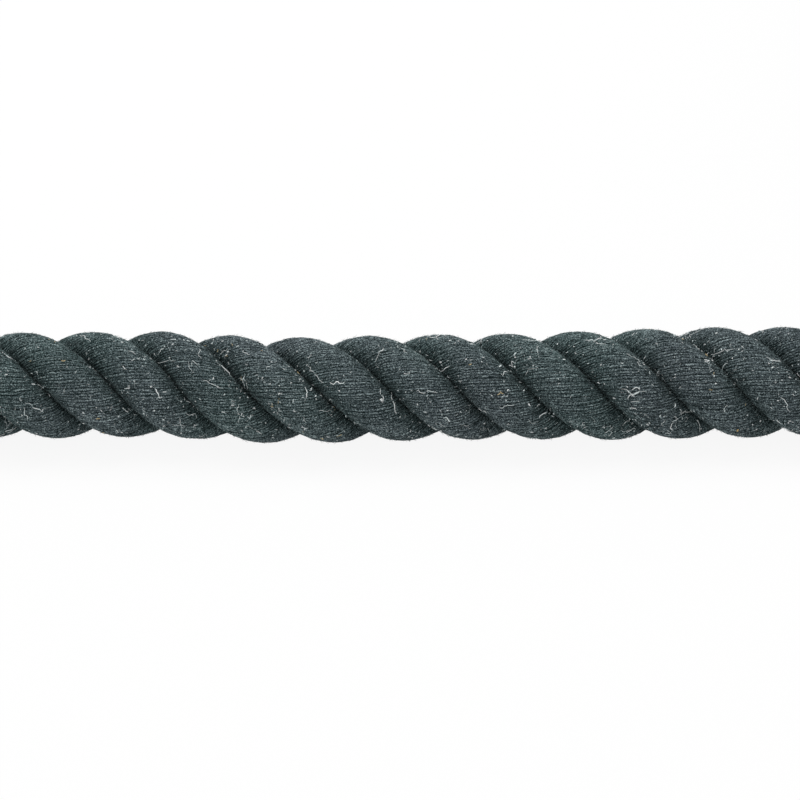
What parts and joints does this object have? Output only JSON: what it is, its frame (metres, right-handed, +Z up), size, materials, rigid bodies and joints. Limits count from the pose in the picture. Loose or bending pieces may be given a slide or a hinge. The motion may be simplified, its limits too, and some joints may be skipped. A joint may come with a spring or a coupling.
{
  "type": "battle rope",
  "caption": "Thick strand-laid training rope with a grip sleeve and a cap on each end, lying in a straight stretch and a flat, tied coil.",
  "frame": {"origin": "centre of the bounding box's underside, on the surface that the rope lies on", "axes": "+X along the straight stretch from the first grip to the coil, +Y across it towards the coil's middle, +Z up"},
  "size_m": [1.22, 0.56, 0.089],
  "materials": {
    "strand yarn 1": "matt black spun yarn with light lint",
    "strand yarn 2": "matt black spun yarn with light lint",
    "strand yarn 3": "matt black spun yarn with light lint",
    "coiled rope yarn": "matt black spun yarn with light lint",
    "whipping tape 1": "matt black cloth tape",
    "moulded cap 1": "satin black moulding",
    "grip sleeve 1": "satin black shrunk sleeve",
    "whipping tape 2": "matt black cloth tape",
    "moulded cap 2": "satin black moulding",
    "grip sleeve 2": "satin black shrunk sleeve",
    "tie webbing 1": "matt black hook-and-loop webbing",
    "tie ring 1": "black coated wire",
    "tie webbing 2": "matt black hook-and-loop webbing",
    "tie ring 2": "black coated wire",
    "tie webbing 3": "matt black hook-and-loop webbing",
    "tie ring 3": "black coated wire"
  },
  "bodies": {
    "root": {"strand_1": "strand yarn 1", "strand_2": "strand yarn 2", "strand_3": "strand yarn 3", "rope_coil": "coiled rope yarn", "end_tape_1": "whipping tape 1", "end_cap_1": "moulded cap 1", "grip_sleeve_1": "grip sleeve 1", "end_tape_2": "whipping tape 2", "end_cap_2": "moulded cap 2", "grip_sleeve_2": "grip sleeve 2", "tie_strap_1": "tie webbing 1", "tie_ring_1": "tie ring 1", "tie_strap_2": "tie webbing 2", "tie_ring_2": "tie ring 2", "tie_strap_3": "tie webbing 3", "tie_ring_3": "tie ring 3"}
  },
  "joints": []
}
